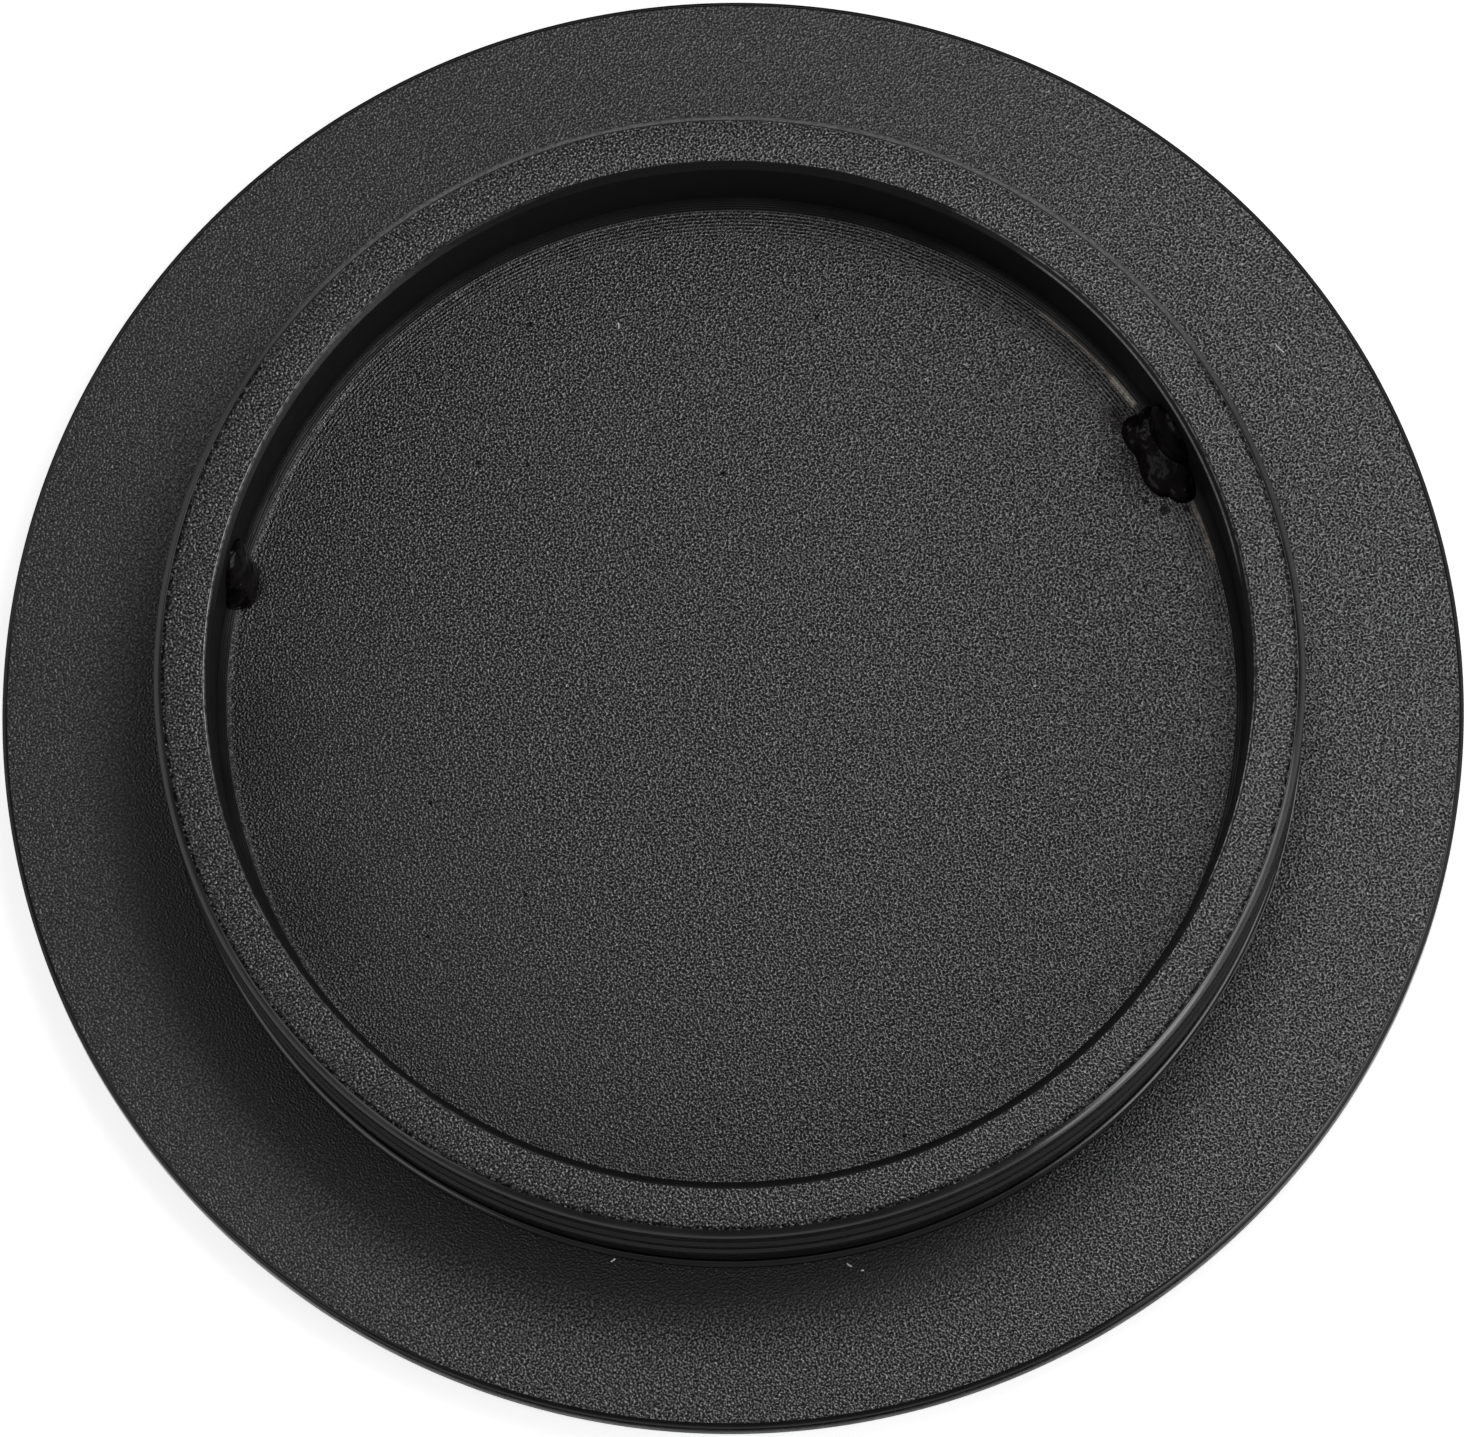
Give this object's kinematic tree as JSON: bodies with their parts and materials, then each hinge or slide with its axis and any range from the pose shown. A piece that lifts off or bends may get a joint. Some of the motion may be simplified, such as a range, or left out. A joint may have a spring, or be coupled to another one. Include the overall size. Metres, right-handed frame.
{
  "type": "telescope lens cap",
  "caption": "Round push-in dust cap with a wide flat flange, a short plug ring with two grip grooves and a shallow blind recess, turned in black anodised aluminium.",
  "frame": {"origin": "centre of the flat outer face that the cap lies on", "axes": "+Z along the turning axis, from the outer face towards the open end of the ring; +X to the right in the picture"},
  "size_m": [0.0406, 0.0406, 0.006],
  "materials": {
    "anodised_aluminium": "fine blasted, anodised and dyed black",
    "black_lacquer": "gloss, brushed on by hand"
  },
  "bodies": {
    "root": {"cap_body": "anodised_aluminium", "right_dab": "black_lacquer", "left_dab": "black_lacquer"}
  },
  "joints": []
}
